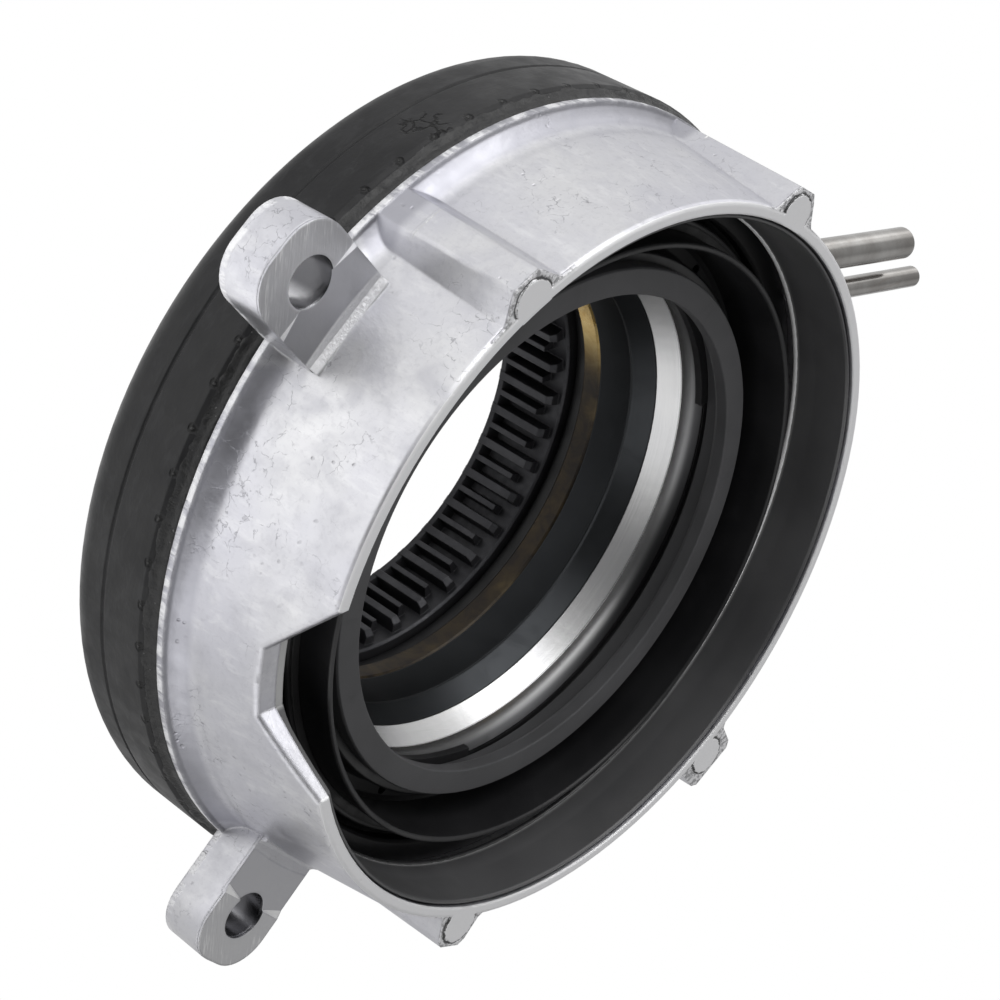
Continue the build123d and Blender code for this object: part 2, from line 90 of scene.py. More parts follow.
class Mat:
    """A node material with short names for the nodes it is made of."""

    def __init__(self, name):
        self.m = bpy.data.materials.new(name)
        self.m.use_nodes = True
        self.t = self.m.node_tree
        self.t.nodes.clear()
        self.out = self.t.nodes.new("ShaderNodeOutputMaterial")
        self.bsdf = self.t.nodes.new("ShaderNodeBsdfPrincipled")
        self.t.links.new(self.bsdf.outputs[0], self.out.inputs[0])
        self.coord = self.node("ShaderNodeTexCoord").outputs["Object"]
        self.bevels = {}

    def node(self, kind, **sockets):
        n = self.t.nodes.new(kind)
        for k, v in sockets.items():
            self.put(n.inputs[k.replace("_", " ")], v)
        return n

    def put(self, socket, v):
        if isinstance(v, bpy.types.NodeSocket):
            self.t.links.new(v, socket)
        elif isinstance(v, (tuple, list)) and len(v) == 3 and socket.type == "RGBA":
            socket.default_value = (*v, 1.0)
        else:
            socket.default_value = v

    def set(self, **sockets):
        for k, v in sockets.items():
            self.put(self.bsdf.inputs[k.replace("_", " ")], v)

    def math(self, op, a, b=0.0, clamp=False):
        n = self.t.nodes.new("ShaderNodeMath")
        n.operation = op
        n.use_clamp = clamp
        self.put(n.inputs[0], a)
        if op not in ("SQRT", "ABSOLUTE", "FRACT", "SINE", "COSINE"):
            self.put(n.inputs[1], b)
        return n.outputs[0]

    def noise(self, size_mm, detail=3.0, rough=0.55, distort=0.0, at=None):
        v = self.coord if at is None else at
        n = self.node("ShaderNodeTexNoise", Vector=v, Scale=1000.0 / size_mm, Detail=detail,
                      Roughness=rough, Distortion=distort)
        return n.outputs[0]

    def voronoi(self, size_mm, feature="F1", *, at):
        n = self.t.nodes.new("ShaderNodeTexVoronoi")
        n.feature = feature
        self.put(n.inputs["Vector"], at)
        self.put(n.inputs["Scale"], 1000.0 / size_mm)
        return n.outputs["Distance"]

    def mapping(self, v, scale=(1, 1, 1), move=(0, 0, 0), turn=0.0):
        n = self.t.nodes.new("ShaderNodeMapping")
        self.put(n.inputs["Vector"], v)
        n.inputs["Scale"].default_value = scale
        n.inputs["Location"].default_value = move
        n.inputs["Rotation"].default_value = (0.0, 0.0, math.radians(turn))
        return n.outputs[0]

    def warp(self, size_mm, amount_mm, detail=2.0):
        n = self.node("ShaderNodeTexNoise", Vector=self.coord, Scale=1000.0 / size_mm, Detail=detail)
        s = self.t.nodes.new("ShaderNodeVectorMath")
        s.operation = "MULTIPLY_ADD"
        self.put(s.inputs[0], n.outputs[1])
        a = amount_mm / 1000.0
        s.inputs[1].default_value = (a, a, a)
        self.put(s.inputs[2], self.coord)
        return s.outputs[0]

    def xyz(self):
        n = self.t.nodes.new("ShaderNodeSeparateXYZ")
        self.put(n.inputs[0], self.coord)
        return n.outputs[0], n.outputs[1], n.outputs[2]

    def join(self, x, y, z):
        n = self.t.nodes.new("ShaderNodeCombineXYZ")
        self.put(n.inputs[0], x)
        self.put(n.inputs[1], y)
        self.put(n.inputs[2], z)
        return n.outputs[0]

    def polar(self):
        """Radius, way round at 50 mm from the axis, and height, all in metres."""
        x, y, z = self.xyz()
        a = self.math("MULTIPLY", self.math("ARCTAN2", y, x), 0.05)
        return self.length(x, y), a, z

    def length(self, dx, dy):
        total = self.math("ADD", self.math("MULTIPLY", dx, dx), self.math("MULTIPLY", dy, dy))
        return self.math("SQRT", total)

    def from_axis(self, x, y, radius, degrees):
        """x and y as seen from an upright axis, given in millimetres and degrees."""
        way = math.radians(degrees)
        dx = self.math("SUBTRACT", x, radius / 1000.0 * math.cos(way))
        dy = self.math("SUBTRACT", y, radius / 1000.0 * math.sin(way))
        return dx, dy

    def nearest(self, places):
        """Distance to the nearest of some upright axes, each given by radius and angle."""
        x, y, z = self.xyz()
        low = None
        for radius, degrees in places:
            d = self.length(*self.from_axis(x, y, radius, degrees))
            low = d if low is None else self.math("MINIMUM", low, d)
        return low

    def ear_frame(self):
        """Radius and sideways distance in the frame of the ear that a point is on."""
        x, y, z = self.xyz()
        out, side = 0.0, 0.0
        for _, degrees in EAR_HOLES:
            c, sn = math.cos(math.radians(degrees)), math.sin(math.radians(degrees))
            u = self.math("ADD", self.math("MULTIPLY", x, c), self.math("MULTIPLY", y, sn))
            v = self.math("SUBTRACT", self.math("MULTIPLY", y, c), self.math("MULTIPLY", x, sn))
            here = self.above(u, 54.0, 54.1)
            out = self.math("ADD", out, self.math("MULTIPLY", here, u))
            side = self.math("ADD", side, self.math("MULTIPLY", here, v))
        return out, side

    def across_holes(self, way):
        """How far a point in an ear hole lies from its axis along one way."""
        x, y, z = self.xyz()
        total = 0.0
        for radius, degrees in EAR_HOLES:
            dx, dy = self.from_axis(x, y, radius, degrees)
            along = self.math("ADD", self.math("MULTIPLY", dx, way[0]), self.math("MULTIPLY", dy, way[1]))
            inside = self.below(self.length(dx, dy), 4.0, 4.1)
            total = self.math("ADD", total, self.math("MULTIPLY", along, inside))
        return total

    def spot(self, radius, degrees, height):
        """Distance to one point, given in millimetres and degrees."""
        way = math.radians(degrees)
        n = self.t.nodes.new("ShaderNodeVectorMath")
        n.operation = "DISTANCE"
        self.put(n.inputs[0], self.coord)
        n.inputs[1].default_value = (
            radius / 1000.0 * math.cos(way), radius / 1000.0 * math.sin(way), height / 1000.0,
        )
        return n.outputs["Value"]

    def all_of(self, *masks):
        total = masks[0]
        for mask in masks[1:]:
            total = self.math("MULTIPLY", total, mask)
        return total

    def ramp(self, v, low, high, a=0.0, b=1.0):
        n = self.t.nodes.new("ShaderNodeMapRange")
        n.interpolation_type = "SMOOTHSTEP"
        self.put(n.inputs[0], v)
        n.inputs[1].default_value = low
        n.inputs[2].default_value = high
        n.inputs[3].default_value = a
        n.inputs[4].default_value = b
        return n.outputs[0]

    def above(self, v, low, high):
        """1 past high, 0 before low, in millimetres."""
        return self.ramp(v, low / 1000.0, high / 1000.0)

    def below(self, v, low, high):
        """1 before low, 0 past high, in millimetres."""
        return self.ramp(v, low / 1000.0, high / 1000.0, 1.0, 0.0)

    def band(self, v, rise, fall):
        """1 from the end of rise to the start of fall, each a pair in millimetres."""
        return self.math("MULTIPLY", self.above(v, *rise), self.below(v, *fall))

    def ragged(self, d, size_mm, amount_mm, detail, rough):
        """A distance made uneven by noise."""
        wander = self.math("SUBTRACT", self.noise(size_mm, detail, rough), 0.5)
        return self.math("ADD", d, self.math("MULTIPLY", wander, amount_mm / 1000.0))

    def tint(self, mask, strength, colour, other):
        """colour, turned towards other by strength where mask is 1."""
        return self.mix(self.math("MULTIPLY", mask, strength), colour, other)

    def mix(self, f, a, b):
        n = self.t.nodes.new("ShaderNodeMix")
        n.data_type = "RGBA"
        self.put(n.inputs[0], f)
        self.put(n.inputs[6], a)
        self.put(n.inputs[7], b)
        return n.outputs[2]

    def mixf(self, f, a, b):
        n = self.t.nodes.new("ShaderNodeMix")
        n.data_type = "FLOAT"
        self.put(n.inputs[0], f)
        self.put(n.inputs[2], a)
        self.put(n.inputs[3], b)
        return n.outputs[0]

    def bevel(self, radius_mm):
        """Rounded normal, one node for all that ask for the same radius."""
        if radius_mm not in self.bevels:
            n = self.node("ShaderNodeBevel", Radius=radius_mm / 1000.0)
            n.samples = 2
            self.bevels[radius_mm] = n.outputs[0]
        return self.bevels[radius_mm]

    def edges(self, radius_mm, low=0.02, high=0.25):
        """1 on convex and concave edges, from how far a bevel turns the normal."""
        g = self.t.nodes.new("ShaderNodeNewGeometry")
        d = self.t.nodes.new("ShaderNodeVectorMath")
        d.operation = "DOT_PRODUCT"
        self.t.links.new(self.bevel(radius_mm), d.inputs[0])
        self.t.links.new(g.outputs["Normal"], d.inputs[1])
        away = self.math("SUBTRACT", 1.0, d.outputs["Value"])
        return self.ramp(away, low, high)

    def corners(self, distance_mm, low=0.25, high=0.8):
        """1 deep in corners, 0 in the open."""
        n = self.node("ShaderNodeAmbientOcclusion", Distance=distance_mm / 1000.0)
        n.samples = 2
        return self.ramp(n.outputs["AO"], low, high, 1.0, 0.0)

    def bumps(self, *layers, round_mm):
        """layers are (height socket, millimetres of height)."""
        total = None
        for h, mm in layers:
            step = self.math("MULTIPLY", h, mm / 1000.0)
            total = step if total is None else self.math("ADD", total, step)
        b = self.node("ShaderNodeBump", Height=total, Strength=1.0)
        b.inputs["Distance"].default_value = 1.0
        if round_mm:
            self.t.links.new(self.bevel(round_mm), b.inputs["Normal"])
        self.t.links.new(b.outputs[0], self.bsdf.inputs["Normal"])


def cast_aluminium():
    m = Mat("cast_aluminium")
    r, a, z = m.polar()
    wide = m.noise(24, 3, 0.6)
    mid = m.noise(6, 4, 0.6, 0.4)
    grain = m.noise(0.7, 3, 0.65)
    drag = m.noise(1.8, 4, 0.65, 0.3, at=m.join(a, r, m.math("MULTIPLY", z, 0.3)))
    hair = m.ramp(m.voronoi(2.4, "DISTANCE_TO_EDGE", at=m.warp(1.7, 2.4, detail=4)), 0.0, 0.035, 1.0, 0.0)
    hair = m.all_of(hair, m.ramp(m.noise(13, 3, 0.6, at=m.mapping(m.coord, move=(3, 1, 2))), 0.46, 0.60))
    hair = m.all_of(hair, m.ramp(m.noise(1.3, 3, 0.7, at=m.mapping(m.coord, move=(1, 4, 6))), 0.42, 0.58))
    pits = m.ramp(m.voronoi(1.9, at=m.warp(3, 1.6)), 0.06, 0.18, 1.0, 0.0)
    pits = m.all_of(pits, m.ramp(m.noise(8, 2, 0.5, at=m.mapping(m.coord, move=(7, 5, 1))), 0.50, 0.62))
    corner_shade = m.corners(4.0)

    # the rim and the ends of the bosses, with a torn crust outside each disc
    rim = m.above(z, 51.22, 51.32)
    disc = m.nearest(BOSS_DISCS)
    torn_disc = m.ragged(disc, 1.1, 1.1, 4, 0.7)
    end = m.all_of(m.above(z, 51.0, 51.1), m.above(r, 52.35, 52.65), m.below(disc, 7.0, 7.5))
    crack = m.all_of(end, m.band(torn_disc, (2.85, 3.0), (3.1, 3.4)))
    crust = m.all_of(end, m.above(torn_disc, 3.1, 3.5))

    # ears: raised pad with milling marks, smooth web, slanted step painted near white as a painted highlight,
    # drilled bore with painted shade on one side
    ear = m.nearest(EAR_HOLES)
    out, side = m.ear_frame()
    beyond = m.above(r, FLANGE_R - 0.2, FLANGE_R + 0.2)
    on_pad = (EAR_PAD_TOP - 0.02, EAR_PAD_TOP - 0.01)
    past_web = (EAR_WEB_TOP + 0.01, EAR_WEB_TOP + 0.02)
    pad = m.all_of(beyond, m.band(z, on_pad, (EAR_PAD_TOP + 0.1, EAR_PAD_TOP + 0.2)))
    web = m.all_of(beyond, m.band(z, (EAR_WEB_TOP - 0.02, EAR_WEB_TOP - 0.01), past_web))
    slant = m.all_of(
        beyond, m.band(z, past_web, on_pad), m.below(m.math("ABSOLUTE", side), 7.0, 7.05),
        m.above(ear, 3.45, 3.5), m.below(out, EAR_STEP_R, EAR_STEP_R + 0.02),
    )
    bore = m.below(ear, 3.43, 3.48)
    bore_shade = m.all_of(bore, m.ramp(m.across_holes((-0.95, -0.30)), -0.0006, 0.0018))
    machined = m.math("MAXIMUM", m.math("MAXIMUM", pad, web), bore)
    as_cast = m.math("SUBTRACT", 1.0, machined)
    hair = m.all_of(hair, as_cast)
    pits = m.all_of(pits, as_cast)
    step = m.all_of(beyond, m.below(r, 64.0, 64.5), m.band(z, (34.5, 34.6), (35.2, 35.3)))
    edge = m.all_of(m.edges(0.45), m.ramp(ear, 0.0036, 0.0056, 0.25, 1.0), m.math("SUBTRACT", 1.0, step))
    mill = m.noise(0.45, 3, 0.7, at=m.mapping(m.coord, scale=(1.0, 0.07, 1.0), turn=35))
    scratch = m.all_of(m.ramp(mill, 0.52, 0.66), m.above(ear, 4.6, 6.6))

    # rough fillet where an ear meets the drum, painted shade in the cove along the flange, torn edge at its back
    fillet = m.all_of(
        m.band(r, (DRUM_R - 0.2, DRUM_R + 0.1), (FLANGE_R - 0.4, FLANGE_R)),
        m.band(z, (34.2, 34.4), (35.7, 36.1)), m.below(ear, 11.8, 12.6),
    )
    cove_shade = m.all_of(m.above(r, DRUM_R + 0.3, DRUM_R + 0.8), m.below(z, 32.2, 33.8), m.above(ear, 12.5, 13.5))
    back_edge = m.all_of(m.above(r, FLANGE_R + 0.2, FLANGE_R + 0.6), m.below(z, 29.0, 29.4))
    torn = m.all_of(back_edge, m.ramp(drag, 0.40, 0.60))
    rugged = m.math("MAXIMUM", m.math("MAXIMUM", crust, fillet), torn)

    colour = m.mix(m.ramp(wide, 0.35, 0.65), ALU_COOL, ALU_WARM)
    colour = m.tint(m.ramp(mid, 0.40, 0.75), 0.7, colour, ALU_STAIN)
    colour = m.tint(m.ramp(drag, 0.50, 0.70), 0.30, colour, ALU_RUBBED)
    colour = m.tint(m.ramp(grain, 0.50, 0.70), 0.18, colour, (0.40, 0.40, 0.43))
    colour = m.tint(hair, 0.65, colour, ALU_CRACK)
    colour = m.tint(pits, 0.45, colour, ALU_PIT)
    # painted shade: darker deep in corners and recesses
    colour = m.tint(corner_shade, 0.50, colour, ALU_CORNER_SHADE)
    # edges lighter: painted highlight along edges, partly rubbed wear
    colour = m.tint(edge, 0.45, colour, (0.88, 0.88, 0.89))
    colour = m.tint(rim, 0.9, colour, (0.94, 0.94, 0.95))
    colour = m.tint(web, 0.9, colour, ALU_WEB)
    # painted highlight: the slanted step painted near white
    colour = m.mix(slant, colour, (0.95, 0.95, 0.95))
    colour = m.tint(pad, 0.8, colour, ALU_PAD)
    colour = m.tint(m.all_of(pad, scratch), 0.7, colour, (0.92, 0.92, 0.92))
    colour = m.tint(fillet, 0.6, colour, (0.72, 0.72, 0.73))
    # painted shade along the cove at the flange
    colour = m.tint(cove_shade, 0.8, colour, ALU_COVE_SHADE)
    colour = m.tint(torn, 0.8, colour, (0.93, 0.93, 0.94))
    colour = m.mix(m.all_of(crust, m.ramp(grain, 0.45, 0.6)), colour, (0.45, 0.45, 0.46))
    colour = m.tint(crack, 0.9, colour, (0.05, 0.05, 0.05))
    # painted shade on one side of each ear bore
    colour = m.tint(bore_shade, 0.9, colour, (0.06, 0.06, 0.065))
    rough = m.mixf(m.ramp(mid, 0.3, 0.7), 0.34, 0.46)
    rough = m.mixf(rim, rough, 0.58)
    rough = m.mixf(m.math("MAXIMUM", web, pad), rough, 0.34)
    rough = m.mixf(rugged, rough, 0.60)
    rough = m.mixf(bore, rough, 0.20)
    m.set(Base_Color=colour, Metallic=1.0, Roughness=rough)
    m.bumps(
        (wide, 0.20), (mid, 0.07), (m.all_of(grain, as_cast), 0.014), (m.all_of(drag, as_cast), 0.03),
        (hair, -0.012), (pits, -0.05), (m.all_of(m.noise(0.5, 3, 0.7), rugged), 0.16), (crack, -0.15),
        (m.all_of(mill, pad), 0.035), round_mm=0.45,
    )
    return m.m


def rubber(name, base, rough):
    m = Mat(name)
    wide = m.noise(20, 4, 0.6)
    mid = m.noise(4, 4, 0.6)
    fine = m.noise(0.6, 2, 0.6)
    dust = m.ramp(m.noise(10, 5, 0.7, 0.6), 0.52, 0.75)
    edge = m.edges(0.35)
    lo, hi = (base * 0.7, base * 0.7, base * 0.72), (base * 1.4, base * 1.4, base * 1.45)
    colour = m.mix(m.ramp(wide, 0.3, 0.7), lo, hi)
    colour = m.tint(dust, 0.35, colour, (base * 3, base * 3, base * 3))
    # edges lighter: painted highlight along edges, partly rubbed wear
    colour = m.tint(edge, 0.4, colour, (base * 4, base * 4, base * 4))
    m.set(Base_Color=colour, Roughness=m.mixf(m.ramp(mid, 0.3, 0.7), rough - 0.08, rough + 0.12))
    m.bumps((wide, 0.3), (mid, 0.05), (fine, 0.012), round_mm=0.35)
    return m.m


def moulded_seal():
    """Satin rubber with a row of dimples near its front edge and one torn patch."""
    m = Mat("moulded_seal")
    x, y, z = m.xyz()
    wide = m.noise(18, 4, 0.6)
    mid = m.noise(4, 4, 0.6)
    fine = m.noise(0.5, 3, 0.6)
    flow = m.noise(5, 4, 0.6, 0.8, at=m.mapping(m.coord, scale=(1, 1, 2.5)))
    step = 2 * math.pi / DIMPLES
    turn = m.math("SUBTRACT", m.math("DIVIDE", m.math("ARCTAN2", y, x), step), DIMPLE_PHASE / math.degrees(step))
    along = m.math("MULTIPLY", m.math("SUBTRACT", m.math("FRACT", turn), 0.5), step * SEAL_R / 1000.0)
    up = m.math("SUBTRACT", z, DIMPLE_Z / 1000.0)
    d = m.ragged(m.length(along, up), 0.8, 0.6, 2, 0.6)
    dimple = m.below(d, 0.35, 0.75)
    nib = m.below(d, 0.05, 0.2)
    patch = m.below(m.ragged(m.spot(*TORN_PATCH), 2.5, 4.0, 3, 0.6), 2.4, 3.6)
    tear = m.ramp(m.voronoi(3.0, "DISTANCE_TO_EDGE", at=m.warp(1.6, 2.6, detail=4)), 0.0, 0.09, 1.0, 0.0)
    tear = m.all_of(tear, patch)
    scuff = m.all_of(m.ramp(m.noise(1.4, 5, 0.7, 1.5), 0.60, 0.70), m.ramp(m.noise(14, 2, 0.5), 0.55, 0.65))
    edge = m.edges(0.35)
    colour = m.mix(m.ramp(wide, 0.3, 0.7), (0.008, 0.008, 0.009), (0.015, 0.015, 0.016))
    colour = m.tint(m.ramp(flow, 0.5, 0.7), 0.5, colour, (0.026, 0.026, 0.028))
    # edges lighter: painted highlight along edges, partly rubbed wear
    colour = m.tint(edge, 0.35, colour, (0.06, 0.06, 0.06))
    colour = m.tint(scuff, 0.5, colour, (0.05, 0.05, 0.052))
    # dimples darker as painted shade; the tear lines darker as cracks in the rubber
    colour = m.tint(m.math("MAXIMUM", tear, dimple), 0.85, colour, (0.003, 0.003, 0.003))
    # nib in each dimple lighter: painted highlight
    colour = m.tint(nib, 0.5, colour, (0.09, 0.09, 0.09))
    rough = m.mixf(m.ramp(mid, 0.3, 0.7), 0.40, 0.52)
    m.set(Base_Color=colour, Roughness=m.mixf(m.math("MAXIMUM", scuff, tear), rough, 0.7), Specular_IOR_Level=0.28)
    m.bumps((wide, 0.25), (mid, 0.05), (flow, 0.04), (fine, 0.012), (dimple, -0.22), (nib, 0.12), (tear, -0.20),
            round_mm=0.35)
    return m.m


def rough_sealant():
    m = Mat("rough_sealant")
    mid = m.noise(1.6, 5, 0.7, 0.5)
    fine = m.noise(0.4, 3, 0.6)
    fleck = m.ramp(m.voronoi(1.1, at=m.warp(1, 0.8)), 0.08, 0.16, 1.0, 0.0)
    fleck = m.all_of(fleck, m.ramp(m.noise(3.0, 2, 0.5), 0.56, 0.62))
    colour = m.mix(m.ramp(mid, 0.35, 0.65), (0.004, 0.004, 0.004), (0.012, 0.012, 0.013))
    # light flecks: painted glints
    colour = m.tint(fleck, 0.6, colour, (0.20, 0.20, 0.20))
    m.set(Base_Color=colour, Roughness=m.mixf(m.ramp(mid, 0.4, 0.7), 0.36, 0.62))
    m.bumps((mid, 0.25), (fine, 0.04), (fleck, 0.05), round_mm=0)
    return m.m


def plastic(name, base, rough, shine=0.5):
    m = Mat(name)
    wide = m.noise(22, 3, 0.6)
    fine = m.noise(0.7, 2, 0.6)
    smudge = m.ramp(m.noise(7, 5, 0.7, 1.0), 0.5, 0.72)
    edge = m.edges(0.3)
    lo = tuple(c * 0.8 for c in base)
    hi = tuple(c * 1.2 for c in base)
    colour = m.mix(m.ramp(wide, 0.3, 0.7), lo, hi)
    # edges lighter: painted highlight along edges, partly rubbed wear
    colour = m.tint(edge, 0.4, colour, tuple(c * 2.5 + 0.01 for c in base))
    rough_now = m.mixf(m.ramp(wide, 0.3, 0.7), rough - 0.05, rough + 0.07)
    m.set(Base_Color=colour, Roughness=m.mixf(smudge, rough_now, rough + 0.12), Specular_IOR_Level=shine)
    m.bumps((wide, 0.12), (fine, 0.008), round_mm=0.3)
    return m.m


def liner_plastic():
    """Satin liner, a little glossier along the lip at its lower edge, with a painted highlight there."""
    m = Mat("liner_plastic")
    _, _, z = m.xyz()
    wide = m.noise(22, 3, 0.6)
    fine = m.noise(0.6, 2, 0.6)
    smudge = m.ramp(m.noise(9, 5, 0.7, 1.0), 0.5, 0.72)
    lip = m.below(z, 42.2, 42.7)
    colour = m.mix(m.ramp(wide, 0.3, 0.7), (0.056, 0.056, 0.058), (0.078, 0.078, 0.080))
    # painted highlight along the lower lip
    colour = m.tint(lip, 0.9, colour, (0.42, 0.42, 0.42))
    rough = m.mixf(smudge, 0.30, 0.40)
    m.set(Base_Color=colour, Roughness=m.mixf(lip, rough, 0.22))
    m.bumps((wide, 0.15), (fine, 0.006), round_mm=0.2)
    return m.m


def turned_steel(name, base, rough, lines):
    m = Mat(name)
    r, a, z = m.polar()
    wide = m.noise(18, 3, 0.6)
    smear = m.ramp(m.noise(12, 5, 0.7, 1.0, at=m.mapping(m.coord, scale=(1, 1, 0.4))), 0.45, 0.7)
    edge = m.edges(0.25)
    corner_shade = m.corners(3.0)
    cut = m.noise(0.35, 3, 0.7, at=m.join(r, m.math("MULTIPLY", a, 0.006), z))
    lo = tuple(c * 0.82 for c in base)
    colour = m.mix(m.ramp(wide, 0.3, 0.7), lo, base)
    # painted shade: darker deep in corners and recesses
    colour = m.tint(corner_shade, 0.5, colour, tuple(c * 0.3 for c in base))
    # edges lighter: painted highlight along edges, partly rubbed wear
    colour = m.tint(edge, 0.4, colour, tuple(min(1.0, c * 1.5 + 0.05) for c in base))
    m.set(Base_Color=colour, Metallic=1.0, Roughness=m.mixf(smear, rough, rough + 0.1))
    m.bumps((wide, 0.06), (cut, lines), round_mm=0.25)
    return m.m


def race_steel():
    """Turned bearing steel: a bright cone, a thin dark line, and a shoulder that fades into shade."""
    m = Mat("race_steel")
    r, a, z = m.polar()
    wide = m.noise(16, 2, 0.5)
    cut = m.noise(0.30, 3, 0.7, at=m.join(r, m.math("MULTIPLY", a, 0.004), z))
    shoulder = m.above(z, RACE_SHOULDER_Z, RACE_SHOULDER_Z + 2.5)
    line = m.band(z, (RACE_SHOULDER_Z, RACE_SHOULDER_Z + 0.1), (RACE_SHOULDER_Z + 0.18, RACE_SHOULDER_Z + 0.3))
    colour = m.mix(m.ramp(wide, 0.3, 0.7), (0.84, 0.84, 0.85), (0.95, 0.95, 0.95))
    colour = m.tint(m.ramp(cut, 0.35, 0.65), 0.12, colour, (0.60, 0.60, 0.61))
    # painted shade: the shoulder darkens as it rises
    colour = m.tint(shoulder, 0.96, colour, (0.03, 0.03, 0.032))
    colour = m.tint(line, 0.5, colour, (0.12, 0.12, 0.12))
    m.set(Base_Color=colour, Metallic=1.0, Roughness=m.mixf(shoulder, 0.27, 0.40))
    crown = m.math("SUBTRACT", (RACE_SHOULDER_Z + 0.2) / 1000.0, z, clamp=True)
    m.bumps((m.math("MULTIPLY", crown, 1000.0), 0.50), (wide, 0.02), (cut, 0.008), round_mm=0.15)
    return m.m


def bronze_grease_and_shade():
    """Bronze darkened by grease and painted shade, left bright on one stretch as a painted highlight."""
    m = Mat("bronze_grease_and_shade")
    wide = m.noise(14, 4, 0.6, 0.5)
    mid = m.noise(3, 4, 0.65, 0.5)
    highlight_stretch = m.math("MULTIPLY", m.below(m.spot(*BRONZE_HIGHLIGHT_AT), 3.0, 16.0), 0.95)
    grease_and_shade = m.math("SUBTRACT", m.ramp(wide, 0.20, 0.50, 0.86, 1.0), highlight_stretch, clamp=True)
    metal = m.mix(m.ramp(mid, 0.3, 0.7), (0.62, 0.40, 0.12), (0.80, 0.60, 0.26))
    # grease and painted shade darken all but the stretch with the painted highlight
    colour = m.mix(grease_and_shade, metal, m.mix(m.ramp(mid, 0.35, 0.65), (0.014, 0.008, 0.004), (0.042, 0.027, 0.010)))
    m.set(Base_Color=colour, Metallic=m.mixf(grease_and_shade, 1.0, 0.3), Roughness=m.mixf(grease_and_shade, 0.26, 0.42))
    m.bumps((wide, 0.06), (mid, 0.03), round_mm=0.2)
    return m.m


def lip_plastic():
    """Lip of the liner, painted near white along one side of the mouth as a painted highlight."""
    m = Mat("lip_plastic")
    wide = m.noise(6, 3, 0.6)
    fine = m.noise(0.5, 2, 0.6)
    lip_highlight = m.below(m.ragged(m.spot(*LIP_HIGHLIGHT_AT), 6, 4.0, 3, 0.6), 37.0, 52.0)
    shade = m.mix(m.ramp(wide, 0.3, 0.7), (0.030, 0.030, 0.031), (0.045, 0.045, 0.047))
    # painted highlight on one side of the lip
    colour = m.mix(lip_highlight, shade, (0.93, 0.93, 0.93))
    m.set(Base_Color=colour, Roughness=m.mixf(m.ramp(wide, 0.4, 0.7), 0.26, 0.36))
    m.bumps((wide, 0.03), (fine, 0.004), round_mm=0.1)
    return m.m


def oxide_steel():
    m = Mat("oxide_steel")
    wide = m.noise(9, 3, 0.6)
    fine = m.noise(0.8, 3, 0.6)
    edge = m.edges(0.3, 0.01, 0.2)
    corner_shade = m.corners(4.0, 0.2, 0.8)
    colour = m.mix(m.ramp(wide, 0.3, 0.7), (0.050, 0.050, 0.056), (0.085, 0.085, 0.092))
    # painted shade: darker deep in corners and recesses
    colour = m.tint(corner_shade, 0.7, colour, (0.008, 0.008, 0.009))
    # edges lighter: painted highlight along edges, partly rubbed wear
    colour = m.tint(edge, 0.35, colour, (0.16, 0.16, 0.17))
    m.set(Base_Color=colour, Metallic=0.6, Roughness=m.mixf(m.ramp(fine, 0.3, 0.7), 0.38, 0.52))
    m.bumps((wide, 0.05), (fine, 0.02), round_mm=0.3)
    return m.m


def tube_steel():
    m = Mat("tube_steel")
    wide = m.noise(6, 3, 0.6)
    streak = m.noise(1.2, 3, 0.6, at=m.mapping(m.coord, scale=(0.05, 1, 1)))
    edge = m.edges(0.18)
    colour = m.mix(m.ramp(wide, 0.3, 0.7), (0.33, 0.315, 0.30), (0.46, 0.45, 0.435))
    colour = m.tint(m.ramp(streak, 0.55, 0.75), 0.35, colour, (0.26, 0.21, 0.17))
    # edges near white: painted highlight along edges, partly rubbed wear
    colour = m.tint(edge, 0.8, colour, (0.92, 0.92, 0.92))
    m.set(Base_Color=colour, Metallic=1.0, Roughness=m.mixf(m.ramp(streak, 0.4, 0.7), 0.13, 0.24))
    m.bumps((wide, 0.03), (streak, 0.01), round_mm=0.18)
    return m.m


alu = cast_aluminium()
seal = moulded_seal()
rubber_in = rubber("seal_rubber", 0.014, 0.45)
sealant = rough_sealant()
liner = liner_plastic()
lip_look = lip_plastic()
black = plastic("carrier_plastic", (0.010, 0.010, 0.011), 0.36)
face = plastic("face_plastic", (0.060, 0.060, 0.063), 0.5, shine=0.35)
coated = plastic("black_steel", (0.013, 0.013, 0.014), 0.33)
grey = turned_steel("grey_steel", (0.055, 0.058, 0.062), 0.38, 0.012)
bright = race_steel()
bronze = bronze_grease_and_shade()
wire = turned_steel("spring_steel", (0.35, 0.35, 0.36), 0.32, 0.004)
oxide = oxide_steel()
tube = tube_steel()

looks = {
    "housing": alu,
    "mouth_liner": liner,
    "clamp_ring": coated,
    "diaphragm": rubber_in,
    "diaphragm_band": coated,
    "rear_cover": coated,
    "seal_ring": seal,
    "joint_bead": sealant,
    "cover_seal": rubber_in,
    "tube_large": tube,
    "tube_small": tube,
    "guide_bush": black,
    "spring_seat": wire,
    "carrier": black,
    "piston_seal": rubber_in,
    "front_ring": face,
    "snap_ring": coated,
    "race_ring": bright,
    "lip_ring": grey,
    "guide_ring": grey,
    "thrust_washer": bronze,
    "spacer_ring": black,
    "clutch_retainer": wire,
    "clutch_ring": oxide,
    "return_spring": wire,
}
for name, m in looks.items():
    nodes[name].data.materials.clear()
    nodes[name].data.materials.append(m)


def link(name, mesh):
    piece = bpy.data.objects.new(name, mesh)
    bpy.context.scene.collection.objects.link(piece)
    return piece


def new_piece(name, verts, faces):
    mesh = bpy.data.meshes.new(name)
    mesh.from_pydata(verts, [], faces)
    mesh.validate()
    return link(name, mesh)


